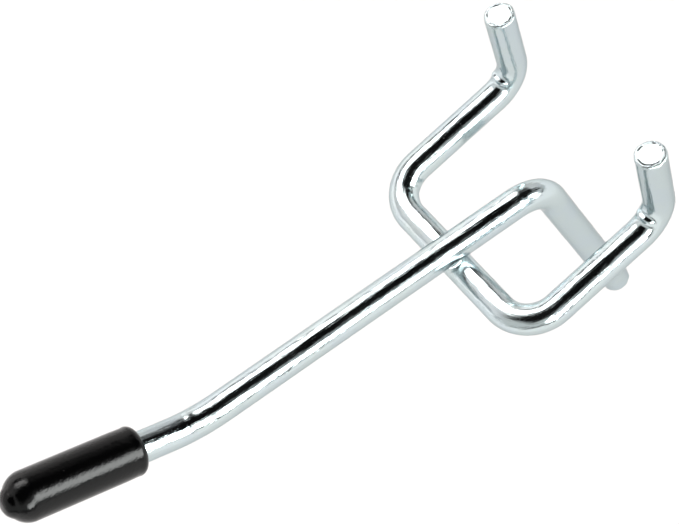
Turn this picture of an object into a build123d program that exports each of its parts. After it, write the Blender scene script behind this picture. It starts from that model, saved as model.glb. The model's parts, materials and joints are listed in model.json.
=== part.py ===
from build123d import *

import math
import os

# Pegboard hook in millimetres, +Z up. The origin is on the front face of the board,
# midway between the two prongs and level with the legs that pass through it. The arm
# reaches out along -Y and the prongs go through the board along +Y. The hook is a
# U of wire with two upturned prongs, an arm of the same wire resistance-welded across
# the bar of the U, and a dip-moulded cap pushed onto the arm's upturned end.

# Driving dimensions
WIRE_D = 3.5  # both wires
PRONG_PITCH = 25.4  # between the prongs' axes, one hole pitch of the board
LEG_LEN = 19.7  # from the cross bar's axis to the prongs' axes, at leg level
CORNER_R = 4.6  # bends between the cross bar and the legs, on the wire's axis
PRONG_R = 4.1  # bends between the legs and the prongs
PRONG_LEN = 11.9  # from the leg's axis to the sheared end
PRONG_LEAN = 9.0  # degrees back from vertical
ARM_RISE = 14.5  # degrees above level, towards the tip
ARM_LEN = 33.5  # from the crossing to the front bend's corner
FRONT_TURN = 21.0  # degrees that the tip turns up from the arm
FRONT_R = 18.5
REAR_LEN = 13.2  # from the crossing to the rear bend's corner
REAR_R = 5.3
FOOT_LEN = 29.9  # from the rear bend's corner to the foot's cut end
FOOT_LEAN = 3.4  # degrees towards the board at its lower end
END_ROUND = 0.3  # rounding of the sheared ends
WELD_SET = 0.5  # how far the weld presses the two wires together
WELD_R = 1.75  # outline of the metal squeezed out round the weld
WELD_H = 1.3
WELD_ROUND = 0.4
CAP_WALL = 0.95
CAP_BORE_GAP = 0.05  # radial, between the cap's bore and the wire
CAP_LEN = 15.8  # from the open rim to the crown
CAP_START = 7.1  # from the front bend's corner to the open rim
CAP_CROWN_T = 2.3  # solid vinyl between the bore and the crown
CAP_END_GAP = 0.3  # from the wire's end to the bottom of the bore
CAP_RIM_ROUND = 0.4
CAP_SHOULDER_R = 2.2
DRIP_D = 3.0  # blunt drip left on the crown by dipping
DRIP_H = 0.4
DRIP_ROUND = 0.35

# Dependent dimensions
WIRE_R = WIRE_D / 2
AXIS_GAP = WIRE_D - WELD_SET
CROSSING_Z = AXIS_GAP / math.cos(math.radians(ARM_RISE))
TIP_RISE = ARM_RISE + FRONT_TURN
FOOT_HEADING = 270 - FOOT_LEAN
CAP_BORE_D = WIRE_D + 2 * CAP_BORE_GAP
CAP_OD = CAP_BORE_D + 2 * CAP_WALL
CAP_BORE_LEN = CAP_LEN - CAP_CROWN_T
TIP_WIRE_LEN = CAP_START + CAP_BORE_LEN - CAP_END_GAP  # from the front bend's corner


def heading(degrees):
    """Unit vector in the hook's middle plane, from -Y (0 degrees) up towards +Z."""
    angle = math.radians(degrees)
    return Vector(0, -math.cos(angle), math.sin(angle))


def along(start, degrees, length):
    """Point a given length from start, in the hook's middle plane."""
    return start + heading(degrees) * length


def bar_y():
    """Y of the cross bar's axis, which puts the foot's lower end against the board."""
    corner = along(Vector(0, 0, 0), ARM_RISE, -REAR_LEN)
    foot_end = along(corner, FOOT_HEADING, FOOT_LEN)
    back_of_foot = foot_end.Y + WIRE_R * math.cos(math.radians(FOOT_LEAN))
    return -back_of_foot


BAR_Y = bar_y()
CROSSING = Vector(0, BAR_Y, CROSSING_Z)
FRONT_CORNER = along(CROSSING, ARM_RISE, ARM_LEN)
REAR_CORNER = along(CROSSING, ARM_RISE, -REAR_LEN)


def bent_wire(points, radii):
    """Round wire swept along straight runs joined by tangent arcs, its ends rounded."""
    path = FilletPolyline(*points, radius=radii)
    section = Plane(path @ 0, z_dir=path % 0) * Circle(WIRE_R)
    wire = sweep(section, path=path)
    rims = [face.edges() for face in wire.faces().filter_by(GeomType.PLANE)]
    return fillet([edge for rim in rims for edge in rim], END_ROUND)


def prong_points(x):
    """Bend points of one side of the yoke, from the prong's end to the cross bar."""
    leg_end = Vector(x, BAR_Y + LEG_LEN, 0)
    lean = math.radians(PRONG_LEAN)
    prong_end = leg_end + Vector(0, math.sin(lean), math.cos(lean)) * PRONG_LEN
    return [prong_end, leg_end, Vector(x, BAR_Y, 0)]


def yoke_wire():
    """U of wire: the cross bar, two legs and two prongs."""
    points = prong_points(-PRONG_PITCH / 2) + prong_points(PRONG_PITCH / 2)[::-1]
    return bent_wire(points, [PRONG_R, CORNER_R, CORNER_R, PRONG_R])


def arm_wire():
    """Foot, rear bend, arm, front bend and tip, seated on the cross bar."""
    foot_end = along(REAR_CORNER, FOOT_HEADING, FOOT_LEN)
    wire_end = along(FRONT_CORNER, TIP_RISE, TIP_WIRE_LEN)
    points = [foot_end, REAR_CORNER, FRONT_CORNER, wire_end]
    return bent_wire(points, [REAR_R, FRONT_R])


def cross_weld(yoke, arm):
    """Metal squeezed out all round the spot where the arm sits in the cross bar."""
    up = Vector(0, math.sin(math.radians(ARM_RISE)), math.cos(math.radians(ARM_RISE)))
    seat = Plane(CROSSING - up * (AXIS_GAP / 2), z_dir=up)
    flash = Cylinder(WELD_R, WELD_H)
    flash = fillet(flash.edges(), WELD_ROUND)
    return seat * flash - yoke - arm


def upright(radius, height):
    """Cylinder standing on the origin."""
    return Cylinder(radius, height, align=(Align.CENTER, Align.CENTER, Align.MIN))


def tip_cap():
    """Hollow cap with a rounded rim, a domed end and a blunt drip on its crown."""
    body = upright(CAP_OD / 2, CAP_LEN)
    body = fillet(body.edges().sort_by(Axis.Z)[-1], CAP_SHOULDER_R)
    body = fillet(body.edges().sort_by(Axis.Z)[0], CAP_RIM_ROUND)
    drip = Pos(0, 0, CAP_BORE_LEN) * upright(DRIP_D / 2, CAP_CROWN_T + DRIP_H)
    drip = fillet(drip.edges().sort_by(Axis.Z)[-1], DRIP_ROUND)
    bore = upright(CAP_BORE_D / 2, CAP_BORE_LEN)
    seat = Plane(along(FRONT_CORNER, TIP_RISE, CAP_START), z_dir=heading(TIP_RISE))
    return seat * (body + drip - bore)


def build():
    """Every node by name."""
    yoke = yoke_wire()
    arm = arm_wire() - yoke
    return {
        "yoke_wire": yoke,
        "arm_wire": arm,
        "cross_weld": cross_weld(yoke, arm),
        "tip_cap": tip_cap(),
    }


os.makedirs("parts", exist_ok=True)
for node, shape in build().items():
    export_step(shape, f"parts/{node}.step")
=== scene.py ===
"""Pegboard hook in bright zinc-plated wire, with a dip-moulded cap on its tip."""

import json
import math

import bmesh
import bpy
from bpy.props import FloatProperty, FloatVectorProperty, IntProperty, PointerProperty
from bpy.types import Operator, Panel, PropertyGroup
from mathutils import Matrix, Vector, noise


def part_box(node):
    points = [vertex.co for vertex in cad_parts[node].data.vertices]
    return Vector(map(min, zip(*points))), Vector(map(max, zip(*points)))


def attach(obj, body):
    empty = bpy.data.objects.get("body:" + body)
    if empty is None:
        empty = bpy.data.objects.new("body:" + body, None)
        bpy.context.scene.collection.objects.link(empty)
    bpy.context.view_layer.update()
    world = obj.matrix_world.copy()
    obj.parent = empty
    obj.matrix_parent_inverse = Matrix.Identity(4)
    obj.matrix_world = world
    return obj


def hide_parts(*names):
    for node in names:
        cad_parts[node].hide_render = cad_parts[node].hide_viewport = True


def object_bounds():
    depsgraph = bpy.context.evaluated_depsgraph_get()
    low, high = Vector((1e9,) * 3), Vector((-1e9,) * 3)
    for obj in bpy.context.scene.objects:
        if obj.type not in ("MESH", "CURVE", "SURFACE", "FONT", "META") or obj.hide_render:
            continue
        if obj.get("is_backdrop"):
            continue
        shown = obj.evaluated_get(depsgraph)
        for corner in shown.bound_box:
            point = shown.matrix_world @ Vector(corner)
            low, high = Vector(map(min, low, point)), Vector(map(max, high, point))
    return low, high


bl_info = {
    "name": "Pegboard Hook",
    "version": (1, 0, 0),
    "blender": (4, 5, 0),
    "location": "View3D > Sidebar > Pegboard Hook",
    "description": "Builds a welded wire hook for perforated board, with a dipped tip cap",
    "category": "Add Mesh",
}

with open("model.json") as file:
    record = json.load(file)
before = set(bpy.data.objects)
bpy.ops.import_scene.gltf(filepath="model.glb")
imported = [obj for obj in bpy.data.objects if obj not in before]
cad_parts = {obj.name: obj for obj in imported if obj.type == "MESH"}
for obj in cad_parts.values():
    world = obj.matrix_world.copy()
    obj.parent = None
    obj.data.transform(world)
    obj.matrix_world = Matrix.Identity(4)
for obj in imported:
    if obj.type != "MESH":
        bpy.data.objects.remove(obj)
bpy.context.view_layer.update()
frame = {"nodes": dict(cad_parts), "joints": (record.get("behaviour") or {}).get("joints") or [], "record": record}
MOUNTS = {mount["name"]: mount for mount in frame["record"]["mounts"]}

# The hook lies in the plane x = 0, with its arm towards -Y and its prongs towards +Y.
PRONG_AXIS = Vector(MOUNTS["right_prong_tip"]["axis"]).normalized()
PRONG_PLACE = Vector(MOUNTS["right_prong_tip"]["pos_m"])
ARM_AXIS = Vector(MOUNTS["arm_rail"]["axis"]).normalized()
ARM_PLACE = Vector(MOUNTS["arm_rail"]["pos_m"])
TIP_AXIS = Vector(frame["joints"][0]["axis"]).normalized()
WIRE_RADIUS = MOUNTS["right_prong_tip"]["dims"]["r_mm"] / 1000
CAP_RADIUS = (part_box("tip_cap")[1].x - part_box("tip_cap")[0].x) / 2
MM = 0.001
CAD_RIM_ROUND = 0.4 * MM  # on the open rim of the CAD cap
RELIEF_OF_DRAWING = 7.0e-6  # depths of the finishes' reliefs, in metres
RELIEF_OF_SHEARING = 2.4e-5
RELIEF_OF_WELD = 9.0e-5
RELIEF_OF_VINYL = 1.6e-5
NEAR_BOX_GAIN = 1.9  # light levels, as shares of the far box's
FRONT_SPILL = 0.05
BACK_SPILL = 0.03
FAR_WALL_EXTRA = 0.9  # and as shares of the plain wall's
GAP_LEVEL = 0.007
SEAM_LEVEL = 0.08


def length_property(name, description, default):
    """A size in metres."""
    return FloatProperty(
        name=name, description=description, default=default, min=0.0, unit="LENGTH", precision=5
    )


def colour_property(name, description, default):
    """A linear colour."""
    return FloatVectorProperty(
        name=name, description=description, default=default, size=3, min=0.0, max=1.0, subtype="COLOR"
    )


def angle_property(name, description, degrees):
    """An angle, given in degrees."""
    return FloatProperty(
        name=name, description=description, default=math.radians(degrees), subtype="ANGLE"
    )


class WireSizes(PropertyGroup):
    """Sizes of the two bent wires."""

    radius: length_property("Wire Radius", "Half the wire's thickness", WIRE_RADIUS)
    corner_bend: length_property("Corner Bend", "Radius between cross bar and legs", 4.6 * MM)
    prong_bend: length_property("Prong Bend", "Radius between legs and prongs", 4.1 * MM)
    rear_bend: length_property("Rear Bend", "Radius between arm and foot", 5.3 * MM)
    front_bend: length_property("Front Bend", "Radius between arm and tip", 18.5 * MM)
    foot_lean: angle_property("Foot Lean", "How far the foot leans towards the board", 3.4)
    end_round: length_property("End Rounding", "Rounding of the sheared ends", 0.3 * MM)
    burr: length_property("Shear Burr", "Unevenness of the sheared rims", 0.09 * MM)
    tool_mark: length_property("Tool Mark", "Height of the lumps left by the bending tool", 0.32 * MM)
    sides: IntProperty(name="Sides", description="Facets round the wire", default=56, min=12)
    step: length_property("Ring Step", "Distance between rings of points", 0.10 * MM)


class CapSizes(PropertyGroup):
    """Sizes of the cap."""

    radius: length_property("Cap Radius", "Half the cap's thickness", CAP_RADIUS)
    wall: length_property("Wall", "Thickness of the vinyl round the wire", 0.95 * MM)
    length: length_property("Length", "From the open rim to the crown", 15.55 * MM)
    bore: length_property("Bore", "Depth of the bore", 13.5 * MM)
    rim_round: length_property("Rim Rounding", "Rounding of the open rim", 0.85 * MM)
    shoulder: length_property("Shoulder", "Radius between side and crown", 2.55 * MM)
    drip_radius: length_property("Drip Radius", "Half the width of the blunt drip", 1.6 * MM)
    drip_height: length_property("Drip Height", "How far the drip stands out", 0.4 * MM)
    sides: IntProperty(name="Sides", description="Facets round the cap", default=96, min=16)


class FinishColours(PropertyGroup):
    """Colours of the finishes."""

    zinc: colour_property("Zinc", "Bright zinc plate", (0.565, 0.645, 0.652))
    zinc_blue: colour_property("Blue Zinc", "Bluer patches of the plate", (0.555, 0.635, 0.663))
    zinc_dull: colour_property("Dull Zinc", "Zinc plate where it has clouded", (0.46, 0.54, 0.55))
    weld: colour_property("Weld", "Plated metal squeezed out of the weld", (0.42, 0.47, 0.475))
    vinyl: colour_property("Vinyl", "Cap", (0.0006, 0.0006, 0.0007))
    dust: colour_property("Dust", "Settled dust", (0.30, 0.30, 0.29))
    # The floor has this colour under the hook as painted shade, and is 1.25 times as bright further out.
    floor: colour_property("Floor", "Studio floor", (0.86, 0.86, 0.86))


class StageSizes(PropertyGroup):
    """Camera, floor and light."""

    azimuth: angle_property("Azimuth", "Camera's bearing, 0 looking along +Y", 90.14)
    elevation: angle_property("Elevation", "Camera's height over the horizon", 58.13)
    roll: angle_property("Roll", "Camera's turn about its own axis", -42.22)
    distance: length_property("Distance", "Camera to aim", 218.6 * MM)
    slide_right: FloatProperty(
        name="Slide Right", description="Aim's shift to the camera's right", default=-3.1 * MM,
        unit="LENGTH",
    )
    slide_up: length_property("Slide Up", "Aim's shift up in the camera's view", 10.25 * MM)
    lens: FloatProperty(name="Lens", description="Focal length in mm", default=103.36)
    floor_drop: length_property("Floor Drop", "Floor below the hook's lowest point", 110 * MM)
    floor_size: length_property("Floor Size", "Side of the floor", 3.0)
    light: FloatProperty(name="Light", description="Strength of the soft boxes", default=6.0)
    fill: FloatProperty(name="Fill", description="Strength of the walls' fill light", default=0.77)


# Shape


def meet(place, axis, other_place, other_axis):
    """Point where two lines in the hook's middle plane cross."""
    gap = other_place - place
    turn = axis.y * other_axis.z - axis.z * other_axis.y
    return place + axis * ((gap.y * other_axis.z - gap.z * other_axis.y) / turn)


def end_centre(node, direction, radius, rounding):
    """Centre of a rounded wire's end face, from the box corner that the end touches."""
    low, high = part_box(node)
    touch_y = high.y if direction.y > 0 else low.y
    touch_z = high.z if direction.z > 0 else low.z
    side_y = math.copysign((radius - rounding) * abs(direction.z) + rounding, direction.y)
    side_z = math.copysign((radius - rounding) * abs(direction.y) + rounding, direction.z)
    return Vector((0, touch_y - side_y, touch_z - side_z)) + direction * rounding


def straight(start, end, step):
    """Points after start, up to and with end."""
    count = max(1, round((end - start).length / step))
    return [start.lerp(end, i / count) for i in range(1, count + 1)]


def bend_route(corners, radii, step, rounding):
    """Centre line of straight runs joined by tangent arcs, denser where the ends are rounded."""
    first, last = corners[0], corners[-1]
    inward = (corners[1] - first).normalized()
    back = (corners[-2] - last).normalized()
    eases = [rounding * (1 - math.cos(math.radians(15 * i))) for i in range(7)]
    route = [first + inward * ease for ease in eases]
    for before, corner, after, radius in zip(corners, corners[1:], corners[2:], radii):
        come = (before - corner).normalized()
        leave = (after - corner).normalized()
        turn = math.pi - come.angle(leave)
        setback = radius * math.tan(turn / 2)
        centre = corner + (come + leave).normalized() * (radius / math.cos(turn / 2))
        arm = corner + come * setback - centre
        axis = arm.cross(corner + leave * setback - centre).normalized()
        count = round(radius * turn / step)
        route += straight(route[-1], centre + arm, step)
        for i in range(1, count + 1):
            route.append(centre + Matrix.Rotation(turn * i / count, 3, axis) @ arm)
    ending = [last + back * ease for ease in reversed(eases)]
    return route + straight(route[-1], ending[0], step) + ending[1:]


class Mark:
    """A ridge, or a nick where its height is below 0, left on one side of a wire by a tool."""

    def __init__(self, place, facing, height, before, after, spread):
        self.place, self.facing = place, facing.normalized()
        self.height, self.before, self.after, self.spread = height, before, after, spread
        self.station = 0.0

    def settle(self, route, stations):
        """Finds how far along the wire the mark lies."""
        near = min(range(len(route)), key=lambda i: (route[i] - self.place).length)
        self.station = stations[near]

    def rise(self, station, outward):
        """Height of the mark at a point of the wire's surface."""
        past = station - self.station
        along = past / (self.after if past > 0 else self.before)
        across = (1 - outward.dot(self.facing)) / self.spread
        return self.height * math.exp(-along * along - across * across)


def swept_wire(name, route, sizes, first_side, marks):
    """Wire mesh along a route, with rounded sheared ends and tool marks."""
    stations = [0.0]
    for before, after in zip(route, route[1:]):
        stations.append(stations[-1] + (after - before).length)
    total = stations[-1]
    sheared = 2.5 * sizes.end_round
    for mark in marks:
        mark.settle(route, stations)
    mesh = bmesh.new()
    lay = mesh.verts.layers.float_vector.new("lay")
    rings, side = [], first_side
    for i, centre in enumerate(route):
        tangent = (route[min(i + 1, len(route) - 1)] - route[max(i - 1, 0)]).normalized()
        side = (side - tangent * side.dot(tangent)).normalized()
        third = tangent.cross(side)
        station = stations[i]
        near = [mark for mark in marks if abs(station - mark.station) < 4 * max(mark.before, mark.after)]
        from_end = min(station, total - station)
        lack = max(0.0, sizes.end_round - from_end)
        rounded = sizes.end_round - math.sqrt(max(0.0, sizes.end_round**2 - lack**2))
        shear = max(0.0, 1 - from_end / sheared)
        ring = []
        for k in range(sizes.sides):
            angle = 2 * math.pi * k / sizes.sides
            outward = side * math.cos(angle) + third * math.sin(angle)
            spot = centre + outward * sizes.radius
            burr = (noise.noise(spot * 900) + 0.8 * noise.noise(spot * 2600)) * sizes.burr * shear
            reach = sizes.radius - rounded + burr
            reach += sum(mark.rise(station, outward) for mark in near)
            vert = mesh.verts.new(centre + outward * reach)
            vert[lay] = (sizes.radius * math.cos(angle), sizes.radius * math.sin(angle), from_end)
            ring.append(vert)
        rings.append(ring)
    for ring, after in zip(rings, rings[1:]):
        for k in range(sizes.sides):
            mesh.faces.new((ring[k], ring[k - 1], after[k - 1], after[k]))
    close_end(mesh, lay, rings[0], route[0], route[0] - route[1], sizes)
    close_end(mesh, lay, rings[-1], route[-1], route[-1] - route[-2], sizes)
    return finished(name, mesh)


def close_end(mesh, lay, ring, centre, direction, sizes):
    """Sheared end face: rings towards the middle, uneven where the wire broke away."""
    direction = direction.normalized()
    outer = ring
    for share in (0.93, 0.82, 0.66, 0.46, 0.24):
        inner = []
        for vert in ring:
            place = centre.lerp(vert.co, share)
            tear = noise.noise(place * 1200) * 0.5 + noise.noise(place * 3600) * 0.3
            moved = mesh.verts.new(place + direction * (tear * sizes.burr * 0.3))
            moved[lay] = vert[lay] * share
            inner.append(moved)
        for k in range(len(ring)):
            mesh.faces.new((outer[k - 1], outer[k], inner[k], inner[k - 1])).material_index = 1
        outer = inner
    middle = mesh.verts.new(centre)
    for k in range(len(ring)):
        mesh.faces.new((outer[k - 1], outer[k], middle)).material_index = 1


def finished(name, mesh):
    """Turns a bmesh into a smooth-shaded object in the scene."""
    bmesh.ops.recalc_face_normals(mesh, faces=mesh.faces)
    for face in mesh.faces:
        face.smooth = True
    data = bpy.data.meshes.new(name)
    mesh.to_mesh(data)
    mesh.free()
    piece = bpy.data.objects.new(name, data)
    bpy.context.scene.collection.objects.link(piece)
    return piece


def lathed(name, profile, sides, place, axis):
    """Closed body turned about an axis, from (distance along, radius) pairs that start and end on it."""
    turn = axis.to_track_quat("Z", "Y").to_matrix()
    mesh = bmesh.new()
    rings = []
    for along, radius in profile[1:-1]:
        ring = []
        for k in range(sides):
            angle = 2 * math.pi * k / sides
            spot = Vector((radius * math.cos(angle), radius * math.sin(angle), along))
            ring.append(mesh.verts.new(place + turn @ spot))
        rings.append(ring)
    for ring, after in zip(rings, rings[1:]):
        for k in range(sides):
            mesh.faces.new((ring[k], ring[k - 1], after[k - 1], after[k]))
    for ring, (along, _) in ((rings[0], profile[0]), (rings[-1], profile[-1])):
        middle = mesh.verts.new(place + turn @ Vector((0, 0, along)))
        for k in range(sides):
            mesh.faces.new((ring[k - 1], ring[k], middle))
    return finished(name, mesh)


def arc(centre, radius, start, end, count):
    """(distance along, radius) pairs on an arc, its angles in degrees from the cap's axis."""
    points = []
    for i in range(count + 1):
        angle = math.radians(start + (end - start) * i / count)
        points.append((centre[0] + radius * math.cos(angle), centre[1] + radius * math.sin(angle)))
    return points


# Finishes


class Graph:
    """Shorthand for adding and linking a tree's nodes."""

    def __init__(self, tree):
        self.tree = tree

    def node(self, kind, *values):
        """Adds a node and sets its first inputs, each to a value or to another node's output."""
        made = self.tree.nodes.new(kind)
        for socket, value in zip(made.inputs, values):
            self.feed(socket, value)
        return made

    def feed(self, socket, value):
        """Links an output to a socket, or sets the socket's own value."""
        if isinstance(value, bpy.types.NodeSocket):
            self.tree.links.new(value, socket)
        else:
            socket.default_value = value

    def math(self, operation, *values):
        """Math node's output."""
        made = self.node("ShaderNodeMath", *values)
        made.operation = operation
        return made.outputs[0]

    def product(self, first, *others):
        """All the values multiplied."""
        for other in others:
            first = self.math("MULTIPLY", first, other)
        return first

    def fade(self, value, low, high, start=0.0, end=1.0):
        """Smooth step from start to end as value goes from low to high."""
        made = self.node("ShaderNodeMapRange", value, low, high, start, end)
        made.interpolation_type = "SMOOTHSTEP"
        return made.outputs[0]

    def blend(self, share, first, second):
        """Colour mixed from first to second."""
        made = self.tree.nodes.new("ShaderNodeMix")
        made.data_type = "RGBA"
        self.feed(made.inputs[0], share)
        self.feed(made.inputs[6], first)
        self.feed(made.inputs[7], second)
        return made.outputs[2]

    def noise(self, vector, scale, detail=2.0, roughness=0.5):
        """Noise texture's value."""
        made = self.tree.nodes.new("ShaderNodeTexNoise")
        self.feed(made.inputs["Vector"], vector)
        self.feed(made.inputs["Scale"], scale)
        self.feed(made.inputs["Detail"], detail)
        self.feed(made.inputs["Roughness"], roughness)
        return made.outputs["Fac"]

    def vector_math(self, operation, *vectors):
        """Vector math node."""
        made = self.node("ShaderNodeVectorMath", *vectors)
        made.operation = operation
        return made

    def stretched(self, vector, scale):
        """Vector scaled by axis."""
        return self.vector_math("MULTIPLY", vector, scale).outputs["Vector"]

    def length(self, vector):
        """Length of a vector."""
        return self.vector_math("LENGTH", vector).outputs["Value"]

    def parts(self, vector):
        """X, Y and Z of a vector."""
        return self.node("ShaderNodeSeparateXYZ", vector).outputs


def new_group(name, inputs, outputs):
    """Shader node group with named sockets. Returns its graph, input node and output node."""
    tree = bpy.data.node_groups.new(name, "ShaderNodeTree")
    for socket, kind, default in inputs:
        made = tree.interface.new_socket(socket, in_out="INPUT", socket_type=kind)
        if default is not None:
            made.default_value = default
    for socket, kind in outputs:
        tree.interface.new_socket(socket, in_out="OUTPUT", socket_type=kind)
    graph = Graph(tree)
    return graph, tree.nodes.new("NodeGroupInput").outputs, tree.nodes.new("NodeGroupOutput").inputs


def drawn_lay_group():
    """Fine lines that a drawing die leaves along a wire."""
    name = "Drawn Lay"
    if name in bpy.data.node_groups:
        return bpy.data.node_groups[name]
    graph, given, result = new_group(
        name,
        [
            ("Lay", "NodeSocketVector", None),
            ("Fineness", "NodeSocketFloat", 1.0),
        ],
        [("Lines", "NodeSocketFloat"), ("Bands", "NodeSocketFloat")],
    )
    fine = graph.stretched(given["Lay"], (1.0, 1.0, 0.12))
    broad = graph.stretched(given["Lay"], (1.0, 1.0, 0.14))
    lines = graph.noise(fine, graph.math("MULTIPLY", given["Fineness"], 5200.0), 3.0, 0.6)
    bands = graph.noise(broad, graph.math("MULTIPLY", given["Fineness"], 1100.0), 2.0, 0.5)
    graph.feed(result["Lines"], graph.fade(lines, 0.35, 0.68))
    graph.feed(result["Bands"], graph.fade(bands, 0.38, 0.64))
    return graph.tree


def clouding_group():
    """Soft patches where a finish has gone dull, and small scuffs."""
    name = "Clouding"
    if name in bpy.data.node_groups:
        return bpy.data.node_groups[name]
    graph, given, result = new_group(
        name,
        [
            ("Position", "NodeSocketVector", None),
            ("Patch Scale", "NodeSocketFloat", 160.0),
            ("Amount", "NodeSocketFloat", 0.5),
        ],
        [("Patches", "NodeSocketFloat"), ("Scuffs", "NodeSocketFloat")],
    )
    patches = graph.noise(given["Position"], given["Patch Scale"], 4.0, 0.6)
    threshold = graph.math("SUBTRACT", 0.78, graph.math("MULTIPLY", given["Amount"], 0.3))
    graph.feed(
        result["Patches"], graph.fade(patches, threshold, graph.math("ADD", threshold, 0.16))
    )
    bent = graph.stretched(given["Position"], (1.0, 0.35, 1.6))
    scuffs = graph.noise(bent, graph.math("MULTIPLY", given["Patch Scale"], 9.0), 5.0, 0.7)
    graph.feed(result["Scuffs"], graph.fade(scuffs, 0.60, 0.72))
    return graph.tree


def dust_group():
    """Sparse specks of dust and pits."""
    name = "Dust Specks"
    if name in bpy.data.node_groups:
        return bpy.data.node_groups[name]
    graph, given, result = new_group(
        name,
        [
            ("Position", "NodeSocketVector", None),
            ("Scale", "NodeSocketFloat", 900.0),
            ("Size", "NodeSocketFloat", 0.10),
            ("Sparseness", "NodeSocketFloat", 0.8),
        ],
        [("Specks", "NodeSocketFloat")],
    )
    cells = graph.tree.nodes.new("ShaderNodeTexVoronoi")
    graph.feed(cells.inputs["Vector"], given["Position"])
    graph.feed(cells.inputs["Scale"], given["Scale"])
    spot = graph.fade(cells.outputs["Distance"], given["Size"], 0.02)
    pick = graph.node("ShaderNodeSeparateColor", cells.outputs["Color"]).outputs[0]
    kept = graph.math("GREATER_THAN", pick, given["Sparseness"])
    graph.feed(result["Specks"], graph.math("MULTIPLY", spot, kept))
    return graph.tree


def shear_tear_group():
    """Torn texture that is strongest round the rim of a sheared end."""
    name = "Shear Tear"
    if name in bpy.data.node_groups:
        return bpy.data.node_groups[name]
    graph, given, result = new_group(
        name,
        [
            ("Lay", "NodeSocketVector", None),
            ("Position", "NodeSocketVector", None),
            ("Wire Radius", "NodeSocketFloat", WIRE_RADIUS),
        ],
        [("Tear", "NodeSocketFloat"), ("Rim", "NodeSocketFloat"), ("End", "NodeSocketFloat")],
    )
    tear = graph.noise(given["Position"], 4200.0, 4.0, 0.7)
    chips = graph.noise(given["Position"], 1700.0, 2.0, 0.5)
    coarse = graph.math("ADD", tear, graph.product(chips, 1.6))
    graph.feed(result["Tear"], graph.math("SUBTRACT", coarse, 1.3))
    from_axis = graph.length(graph.stretched(given["Lay"], (1.0, 1.0, 0.0)))
    share = graph.math("DIVIDE", from_axis, given["Wire Radius"])
    graph.feed(result["Rim"], graph.fade(share, 0.78, 0.9))
    from_end = graph.parts(given["Lay"])[2]
    graph.feed(result["End"], graph.fade(from_end, 0.1 * MM, 0.6 * MM, 1.0, 0.0))
    return graph.tree


def placed(graph, group, **inputs):
    """Group node in a material, with its inputs by name."""
    made = graph.tree.nodes.new("ShaderNodeGroup")
    made.node_tree = group
    for key, value in inputs.items():
        graph.feed(made.inputs[key.replace("_", " ")], value)
    return made.outputs


def new_material(name):
    """Material with its graph and its Principled shader."""
    material = bpy.data.materials.new(name)
    material.use_nodes = True
    shader = material.node_tree.nodes["Principled BSDF"]
    return material, Graph(material.node_tree), shader.inputs


def attribute(graph, name):
    """Vector attribute of the mesh."""
    made = graph.tree.nodes.new("ShaderNodeAttribute")
    made.attribute_name = name
    return made.outputs["Vector"]


def object_position(graph):
    """Place on the piece, in metres."""
    return graph.tree.nodes.new("ShaderNodeTexCoord").outputs["Object"]


def bump(graph, height, distance):
    """Normal roughened by a height."""
    made = graph.tree.nodes.new("ShaderNodeBump")
    graph.feed(made.inputs["Height"], height)
    graph.feed(made.inputs["Distance"], distance)
    return made.outputs[0]


def opaque(colour):
    """Colour with full alpha."""
    return (*colour, 1.0)


def zinc_material(colours):
    """Bright zinc plate over drawn wire: mirror-like, with faint lines along the wire."""
    material, graph, shader = new_material("bright_zinc_plate")
    position = object_position(graph)
    drawn = placed(graph, drawn_lay_group(), Lay=attribute(graph, "lay"))
    cloud = placed(graph, clouding_group(), Position=position, Patch_Scale=210.0, Amount=0.55)
    dust = placed(graph, dust_group(), Position=position, Scale=1500.0, Size=0.16, Sparseness=0.9)
    dull = graph.product(cloud["Patches"], graph.fade(drawn["Bands"], 0.0, 1.0, 0.35, 1.0))
    from_weld = graph.vector_math("DISTANCE", position, weld_place()).outputs["Value"]
    heat = graph.fade(from_weld, 1.7 * MM, 3.3 * MM, 1.0, 0.0)
    cast = graph.noise(position, 300.0, 3.0, 0.6)
    tinted = graph.blend(graph.fade(cast, 0.4, 0.62), opaque(colours.zinc), opaque(colours.zinc_blue))
    plate = graph.blend(dull, tinted, opaque(colours.zinc_dull))
    scuffed = graph.blend(
        graph.product(cloud["Scuffs"], drawn["Lines"], 0.35), plate, opaque(colours.zinc_dull)
    )
    graph.feed(shader["Base Color"], graph.blend(dust["Specks"], scuffed, opaque(colours.dust)))
    shader["Metallic"].default_value = 1.0
    shader["Specular Tint"].default_value = opaque((0.60, 0.63, 0.64))
    sheen = graph.math("ADD", 0.08, graph.product(drawn["Bands"], 0.05))
    hazed = graph.math("ADD", sheen, graph.product(dull, 0.12))
    heated = graph.math("ADD", hazed, graph.product(heat, 0.16))
    graph.feed(shader["Roughness"], graph.math("ADD", heated, graph.product(dust["Specks"], 0.3)))
    torn = placed(graph, shear_tear_group(), Lay=attribute(graph, "lay"), Position=position)
    height = graph.math("ADD", graph.product(drawn["Lines"], 0.9), graph.product(drawn["Bands"], 2.0))
    ragged = graph.math("ADD", height, graph.product(torn["Tear"], torn["End"], 9.0))
    pitted = graph.math("SUBTRACT", ragged, graph.product(dust["Specks"], 0.7))
    graph.feed(shader["Normal"], bump(graph, pitted, RELIEF_OF_DRAWING))
    return material


def weld_place():
    """Middle of the weld."""
    low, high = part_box("cross_weld")
    return (low + high) / 2


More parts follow.
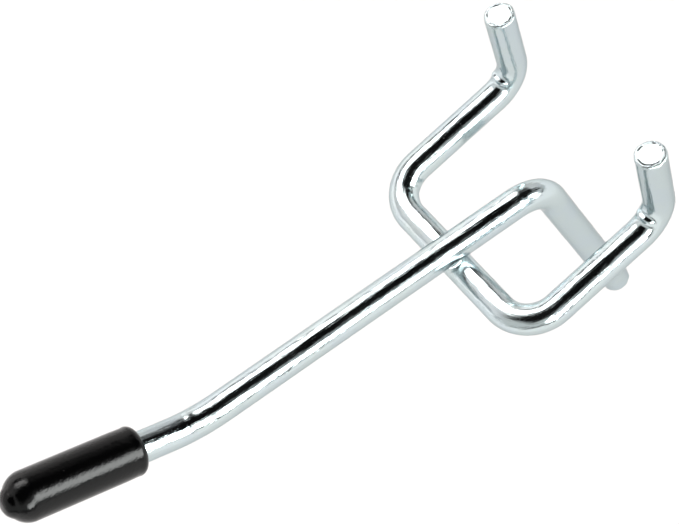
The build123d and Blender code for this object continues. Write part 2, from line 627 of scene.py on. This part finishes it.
def sheared_material(colours):
    """Sheared end face under plate: torn, with painted shade in the pits and low teeth round its rim."""
    material, graph, shader = new_material("sheared_end")
    position = object_position(graph)
    torn = placed(graph, shear_tear_group(), Lay=attribute(graph, "lay"), Position=position)
    dust = placed(graph, dust_group(), Position=position, Scale=2600.0, Size=0.2, Sparseness=0.8)
    worn = graph.fade(torn["Tear"], -0.2, 0.3)
    face = graph.blend(worn, opaque(colours.zinc), opaque(colours.zinc_dull))
    # Painted shade: the rim's colour goes near black where the bump below sinks, in the pits and in the low parts
    # of the tear.
    pits = graph.product(dust["Specks"], graph.fade(torn["Rim"], 0.0, 1.0, 0.35, 1.0))
    teeth = graph.product(torn["Rim"], graph.fade(torn["Tear"], -0.06, 0.08, 1.0, 0.0))
    painted_shade_mask = graph.math("MAXIMUM", pits, teeth)
    graph.feed(
        shader["Base Color"], graph.blend(painted_shade_mask, face, opaque([c * 0.12 for c in colours.weld]))
    )
    shader["Metallic"].default_value = 1.0
    graph.feed(shader["Roughness"], graph.fade(worn, 0.0, 1.0, 0.25, 0.4))
    depth = graph.fade(torn["Rim"], 0.0, 1.0, 0.35, 2.2)
    height = graph.math("SUBTRACT", graph.product(torn["Tear"], depth), dust["Specks"])
    graph.feed(shader["Normal"], bump(graph, height, RELIEF_OF_SHEARING))
    return material


def weld_material(colours):
    """Plated metal squeezed out of a resistance weld: satin and a little lumpy."""
    material, graph, shader = new_material("weld_plate")
    position = object_position(graph)
    cloud = placed(graph, clouding_group(), Position=position, Patch_Scale=700.0, Amount=0.8)
    dust = placed(graph, dust_group(), Position=position, Scale=2400.0, Size=0.2, Sparseness=0.8)
    lumps = graph.noise(position, 1300.0, 4.0, 0.6)
    plate = graph.blend(cloud["Patches"], opaque(colours.zinc), opaque(colours.weld))
    graph.feed(
        shader["Base Color"], graph.blend(dust["Specks"], plate, opaque([c * 0.3 for c in colours.weld]))
    )
    shader["Metallic"].default_value = 1.0
    graph.feed(shader["Roughness"], graph.fade(cloud["Patches"], 0.0, 1.0, 0.2, 0.42))
    graph.feed(shader["Normal"], bump(graph, lumps, RELIEF_OF_WELD))
    return material


def vinyl_material(colours):
    """Dip-moulded vinyl: glossy black with orange peel, fine grain and dust."""
    material, graph, shader = new_material("dipped_vinyl")
    position = object_position(graph)
    cloud = placed(graph, clouding_group(), Position=position, Patch_Scale=260.0, Amount=0.4)
    dust = placed(graph, dust_group(), Position=position, Scale=1300.0, Size=0.09, Sparseness=0.93)
    peel = graph.noise(position, 1500.0, 3.0, 0.6)
    grain = graph.noise(position, 3800.0, 2.0, 0.6)
    scuffs = graph.product(cloud["Scuffs"], 0.004)
    skin = graph.blend(scuffs, opaque(colours.vinyl), opaque(colours.dust))
    graph.feed(
        shader["Base Color"], graph.blend(graph.product(dust["Specks"], 0.3), skin, opaque(colours.dust))
    )
    shader["IOR"].default_value = 1.47
    shader["Specular Tint"].default_value = opaque((0.97, 1.0, 1.0))
    shader["Specular IOR Level"].default_value = 0.31
    sheen = graph.fade(cloud["Patches"], 0.0, 1.0, 0.15, 0.21)
    graph.feed(shader["Roughness"], graph.math("ADD", sheen, graph.product(cloud["Scuffs"], 0.05)))
    height = graph.math("ADD", peel, graph.product(grain, 1.6))
    graph.feed(shader["Normal"], bump(graph, height, RELIEF_OF_VINYL))
    return material


def floor_material(colours):
    """Matt paper sweep, seen only from above, painted darker under the hook as a pool of painted shade."""
    material, graph, shader = new_material("studio_floor")
    position = object_position(graph)
    fibre = graph.noise(position, 900.0, 4.0, 0.6)
    # Painted shade: the paper has the floor colour out to 0.14 m from its middle, under the hook, and fades to
    # 1.25 times as bright by 0.34 m, standing in for the hook's shadow.
    painted_shade_pool = graph.fade(graph.length(position), 0.14, 0.34)
    outer = [min(1.0, c * 1.25) for c in colours.floor]
    paper_with_painted_shade = graph.blend(painted_shade_pool, opaque(colours.floor), opaque(outer))
    tone = graph.fade(fibre, 0.2, 0.8, 0.0, 0.04)
    graph.feed(shader["Base Color"], graph.blend(tone, paper_with_painted_shade, opaque([c * 0.9 for c in outer])))
    shader["Roughness"].default_value = 0.9
    shader["Specular IOR Level"].default_value = 0.0
    nodes = material.node_tree.nodes
    below = graph.node("ShaderNodeNewGeometry").outputs["Backfacing"]
    clear = graph.node("ShaderNodeBsdfTransparent").outputs[0]
    mix = graph.node("ShaderNodeMixShader", below, nodes["Principled BSDF"].outputs[0], clear)
    graph.feed(nodes["Material Output"].inputs["Surface"], mix.outputs[0])
    return material


# Light


def band(graph, value, start, end, softness):
    """1 while value is between start and end, with soft edges."""
    rise = graph.fade(value, start - softness, start + softness)
    fall = graph.fade(value, end - softness, end + softness, 1.0, 0.0)
    return graph.math("MULTIPLY", rise, fall)


def soft_boxes(graph, turn, y):
    """Two boxes along Y, one low on each side. The near one is taller towards +Y."""
    low_turn = graph.math("ADD", turn, graph.fade(y, 0.3, 0.5, 3.0, 11.0))
    high_turn = graph.math("SUBTRACT", turn, graph.fade(y, 0.3, 0.5, 2.0, 9.0))
    near_turn = graph.product(
        graph.fade(low_turn, 8.0, 10.0), graph.fade(high_turn, 15.0, 28.0, 1.0, 0.0), NEAR_BOX_GAIN
    )
    near_box = graph.product(near_turn, band(graph, y, -0.4, 0.8, 0.08))
    far_turn = graph.product(graph.fade(turn, 107.0, 121.0), graph.fade(turn, 131.0, 135.0, 1.0, 0.0))
    far_reach = graph.product(
        graph.fade(y, -0.27, -0.01, FRONT_SPILL, 1.0), graph.fade(y, 0.53, 0.67, 1.0, BACK_SPILL)
    )
    return graph.math("MAXIMUM", near_box, graph.product(far_turn, far_reach))


def tent_walls(graph, turn, y, z):
    """White walls, brighter low on the far side, with dark seams and a dark gap overhead.

    The gap also takes in what is high towards +Y.
    """
    rise = graph.fade(turn, 33.0, 54.0)
    fall = graph.fade(turn, 95.0, 112.0, 1.0, 0.0)
    overhead = graph.product(rise, fall, graph.fade(y, -0.75, -0.55))
    behind = graph.product(graph.fade(y, 0.56, 0.68), graph.fade(z, 0.34, 0.44))
    gap = graph.math("MAXIMUM", overhead, behind)
    far_seam = graph.product(band(graph, turn, 135.5, 150.0, 1.5), band(graph, y, -0.17, 0.32, 0.08))
    seams = graph.math("MAXIMUM", far_seam, band(graph, turn, -5.0, 7.5, 1.2))
    far_wall = graph.product(graph.fade(turn, 149.0, 152.0), graph.fade(y, 0.4, 0.55, 1.0, 0.0))
    lit_wall = graph.math("ADD", 1.0, graph.product(far_wall, FAR_WALL_EXTRA))
    gap_level = graph.fade(gap, 0.0, 1.0, 1.0, GAP_LEVEL)
    return graph.product(gap_level, lit_wall, graph.fade(seams, 0.0, 1.0, 1.0, SEAM_LEVEL))


def studio_light(world, stage):
    """White tent with a soft box on each side, seen by the hook and the floor only.

    A direction's turn is its angle round the Y axis, in degrees from +X up towards +Z.
    """
    world.use_nodes = True
    graph = Graph(world.node_tree)
    x, y, z = graph.parts(graph.node("ShaderNodeTexCoord").outputs["Generated"])
    turn = graph.math("DEGREES", graph.math("ARCTAN2", z, x))
    boxes = graph.product(soft_boxes(graph, turn, y), stage.light)
    walls = graph.product(tent_walls(graph, turn, y, z), stage.fill)
    tint = graph.blend(graph.fade(x, -0.6, 0.2), opaque((1.05, 1.0, 0.99)), opaque((1.0, 1.0, 0.985)))
    lit = graph.node("ShaderNodeBackground", tint, graph.math("ADD", boxes, walls)).outputs[0]
    plain = graph.node("ShaderNodeBackground", opaque((1.0, 1.0, 1.0)), 1.0).outputs[0]
    seen = graph.node("ShaderNodeLightPath").outputs["Is Camera Ray"]
    mix = graph.node("ShaderNodeMixShader", seen, lit, plain)
    graph.feed(world.node_tree.nodes["World Output"].inputs["Surface"], mix.outputs[0])


# Pieces


def settings():
    """The scene's values for the hook."""
    scene = bpy.context.scene
    return scene.hook_wire, scene.hook_cap, scene.hook_colours, scene.hook_stage


def finish_of(name, make):
    """A material by name, made the first time."""
    return bpy.data.materials.get(name) or make(bpy.context.scene.hook_colours)


def dress_wire(piece):
    """Plated wire with sheared ends."""
    piece.data.materials.append(finish_of("bright_zinc_plate", zinc_material))
    piece.data.materials.append(finish_of("sheared_end", sheared_material))


def arm_corners(wire):
    """Foot end, rear bend, front bend and wire end."""
    foot_axis = Vector((0, math.sin(wire.foot_lean), -math.cos(wire.foot_lean)))
    foot_end = end_centre("arm_wire", foot_axis, wire.radius, wire.end_round)
    wire_end = end_centre("arm_wire", TIP_AXIS, wire.radius, wire.end_round)
    rear = meet(ARM_PLACE, ARM_AXIS, foot_end, foot_axis)
    front = meet(ARM_PLACE, ARM_AXIS, wire_end, TIP_AXIS)
    return [foot_end, rear, front, wire_end]


class HOOK_OT_yoke_wire(Operator):
    """Build the U of wire with its two upturned prongs"""

    bl_idname = "hook.yoke_wire"
    bl_label = "Yoke Wire"

    def execute(self, context):
        wire = context.scene.hook_wire
        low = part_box("yoke_wire")[0]
        spread = PRONG_PLACE.x
        prong_end = end_centre("yoke_wire", PRONG_AXIS, wire.radius, wire.end_round)
        leg_end = meet(prong_end, PRONG_AXIS, Vector((0, 0, 0)), Vector((0, 1, 0)))
        bar = Vector((0, low.y + wire.radius, 0))
        half = [prong_end, leg_end, bar]
        corners = [place + Vector((-spread, 0, 0)) for place in half]
        corners += [place + Vector((spread, 0, 0)) for place in reversed(half)]
        radii = (wire.prong_bend, wire.corner_bend, wire.corner_bend, wire.prong_bend)
        route = bend_route(corners, radii, wire.step, wire.end_round)
        inside = PRONG_AXIS + Vector((0, -1, 0))
        lump, tight, wide = wire.tool_mark, 0.42 * MM, 0.75 * MM
        set_back, dent = 0.1 * MM, 0.5 * MM
        left_bend = leg_end + Vector((-spread, -set_back, 0))
        right_bend = leg_end + Vector((spread, -set_back, 0))
        marks = [
            Mark(left_bend, inside + Vector((-0.15, 0, 0)), lump, tight, wide, 0.26),
            Mark(right_bend, inside + Vector((-0.1, 0, 0)), lump, wide, tight, 0.26),
            Mark(corners[2], Vector((1, 1, 0.5)), -0.2 * lump, dent, dent, 0.35),
        ]
        piece = swept_wire("yoke", route, wire, Vector((1, 0, 0)), marks)
        dress_wire(piece)
        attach(piece, "hook")
        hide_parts("yoke_wire")
        return {"FINISHED"}


class HOOK_OT_arm_wire(Operator):
    """Build the foot, the arm and its upturned tip"""

    bl_idname = "hook.arm_wire"
    bl_label = "Arm Wire"

    def execute(self, context):
        wire = context.scene.hook_wire
        corners = arm_corners(wire)
        radii = (wire.rear_bend, wire.front_bend)
        route = bend_route(corners, radii, wire.step, wire.end_round)
        rear, front = corners[1], corners[2]
        across, nick = ARM_AXIS.cross(Vector((1, 0, 0))), wire.tool_mark
        crease = front + TIP_AXIS * 1.4 * MM
        swell = crease - ARM_AXIS * 0.6 * MM
        bruise = rear + ARM_AXIS * 6.3 * MM
        thin, short, middling, long = 0.12 * MM, 0.4 * MM, 0.5 * MM, 1.1 * MM
        marks = [
            Mark(crease, Vector((0.15, 0.45, 0.86)), -0.11 * nick, thin, thin, 0.4),
            Mark(swell, Vector((0.2, 0.3, 0.9)), 0.08 * nick, short, short, 0.3),
            Mark(rear, -across, -0.16 * nick, long, long, 0.4),
            Mark(bruise, Vector((0.1, 0, 1)), -0.06 * nick, middling, middling, 0.4),
        ]
        piece = swept_wire("arm", route, wire, Vector((1, 0, 0)), marks)
        dress_wire(piece)
        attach(piece, "hook")
        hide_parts("arm_wire")
        return {"FINISHED"}


class HOOK_OT_cross_weld(Operator):
    """Finish the metal squeezed out round the weld"""

    bl_idname = "hook.cross_weld"
    bl_label = "Cross Weld"

    def execute(self, context):
        weld = frame["nodes"]["cross_weld"]
        weld.data.materials.clear()
        weld.data.materials.append(finish_of("weld_plate", weld_material))
        return {"FINISHED"}


class HOOK_OT_tip_cap(Operator):
    """Build the dipped cap on the tip"""

    bl_idname = "hook.tip_cap"
    bl_label = "Tip Cap"

    def execute(self, context):
        cap = context.scene.hook_cap
        rim = end_centre("tip_cap", -TIP_AXIS, cap.radius, CAD_RIM_ROUND)
        bore_radius = cap.radius - cap.wall
        lip = (cap.rim_round, cap.radius - cap.rim_round)
        inner_round = min(cap.rim_round, cap.wall - cap.rim_round)
        inner_lip = (inner_round, bore_radius + inner_round)
        shoulder = (cap.length - cap.shoulder, cap.radius - cap.shoulder)
        crown = cap.length + cap.drip_height
        profile = [(cap.bore, 0.0), (cap.bore, 0.5 * bore_radius), (cap.bore, bore_radius)]
        profile += [(cap.bore * (1 - i / 12), bore_radius) for i in range(1, 12)]
        profile += arc(inner_lip, inner_round, 270, 180, 8)
        profile += arc(lip, cap.rim_round, 180, 90, 10)
        reach = shoulder[0] - cap.rim_round
        fullness, tuck = 0.03 * MM, 0.05 * MM
        for i in range(1, 40):
            share = i / 40
            swell = fullness * math.sin(math.pi * share) - tuck * math.exp(-share * 9)
            profile.append((cap.rim_round + reach * share, cap.radius + min(0.0, swell)))
        side = arc(shoulder, cap.shoulder, 90, 20, 24)
        foot_of_drip = cap.drip_radius + 0.12 * MM
        profile += [spot for spot in side if spot[1] > foot_of_drip]
        profile += self.drip(profile[-1], crown, cap.drip_radius)
        profile.append((crown, 0.0))
        piece = lathed("cap", profile, cap.sides, rim, TIP_AXIS)
        piece.data.materials.append(finish_of("dipped_vinyl", vinyl_material))
        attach(piece, "cap")
        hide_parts("tip_cap")
        return {"FINISHED"}

    def drip(self, start, crown, radius):
        """Blunt drip: a hollow where it leaves the crown, then a flat dome."""
        rise, steps = crown - start[0], 21
        points = []
        for i in range(1, steps):
            share = i / steps
            out = start[1] * (1 - share)
            hollow = share * 0.25
            dome = 1 - (out / (radius * 1.08)) ** 3
            points.append((start[0] + rise * max(hollow, dome), out))
        return points


class HOOK_OT_stage(Operator):
    """Build the floor, the light and the camera"""

    bl_idname = "hook.stage"
    bl_label = "Stage"

    def execute(self, context):
        stage = context.scene.hook_stage
        low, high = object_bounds()
        mesh = bmesh.new()
        half = stage.floor_size / 2
        bmesh.ops.create_grid(mesh, x_segments=8, y_segments=8, size=half)
        floor = finished("floor", mesh)
        floor.location = (0, (low.y + high.y) / 2, low.z - stage.floor_drop)
        floor.data.materials.append(finish_of("studio_floor", floor_material))
        floor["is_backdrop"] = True
        context.scene.world = bpy.data.worlds.new("studio")
        studio_light(context.scene.world, stage)
        context.scene.view_settings.view_transform = "Standard"
        self.camera(context.scene, stage, (low + high) / 2)
        return {"FINISHED"}

    def camera(self, scene, stage, centre):
        """Camera looking steeply down at the hook from the side of its right prong."""
        level = math.cos(stage.elevation)
        back = Vector(
            (
                math.sin(stage.azimuth) * level,
                -math.cos(stage.azimuth) * level,
                math.sin(stage.elevation),
            )
        )
        right = Vector((0, 0, 1)).cross(back).normalized()
        turned = Matrix.Rotation(stage.roll, 3, back) @ right
        up = back.cross(turned)
        aim = centre + turned * stage.slide_right + up * stage.slide_up
        data = bpy.data.cameras.new("camera")
        data.lens = stage.lens
        data.sensor_width = 36.0
        data.clip_start, data.clip_end = 0.01, 20.0
        camera = bpy.data.objects.new("camera", data)
        axes = Matrix((turned, up, back)).transposed()
        camera.matrix_world = Matrix.Translation(aim + back * stage.distance) @ axes.to_4x4()
        scene.collection.objects.link(camera)
        scene.camera = camera


class HOOK_PT_panel(Panel):
    """Sizes, colours and steps of the hook"""

    bl_label = "Pegboard Hook"
    bl_idname = "HOOK_PT_panel"
    bl_space_type = "VIEW_3D"
    bl_region_type = "UI"
    bl_category = "Pegboard Hook"

    def draw(self, context):
        for group in settings():
            box = self.layout.box()
            for name in group.__annotations__:
                box.prop(group, name)
        for step in STEPS:
            self.layout.operator(step.bl_idname)


GROUPS = (WireSizes, CapSizes, FinishColours, StageSizes)
STEPS = (HOOK_OT_yoke_wire, HOOK_OT_arm_wire, HOOK_OT_cross_weld, HOOK_OT_tip_cap, HOOK_OT_stage)
POINTERS = dict(zip(("hook_wire", "hook_cap", "hook_colours", "hook_stage"), GROUPS))


def register():
    for group in (*GROUPS, *STEPS, HOOK_PT_panel):
        bpy.utils.register_class(group)
    for name, group in POINTERS.items():
        setattr(bpy.types.Scene, name, PointerProperty(type=group))


def unregister():
    for name in POINTERS:
        delattr(bpy.types.Scene, name)
    for group in reversed((*GROUPS, *STEPS, HOOK_PT_panel)):
        bpy.utils.unregister_class(group)


def main():
    """Builds every piece in order."""
    register()
    bpy.ops.hook.yoke_wire()
    bpy.ops.hook.arm_wire()
    bpy.ops.hook.cross_weld()
    bpy.ops.hook.tip_cap()
    bpy.ops.hook.stage()


if __name__ == "__main__":
    main()
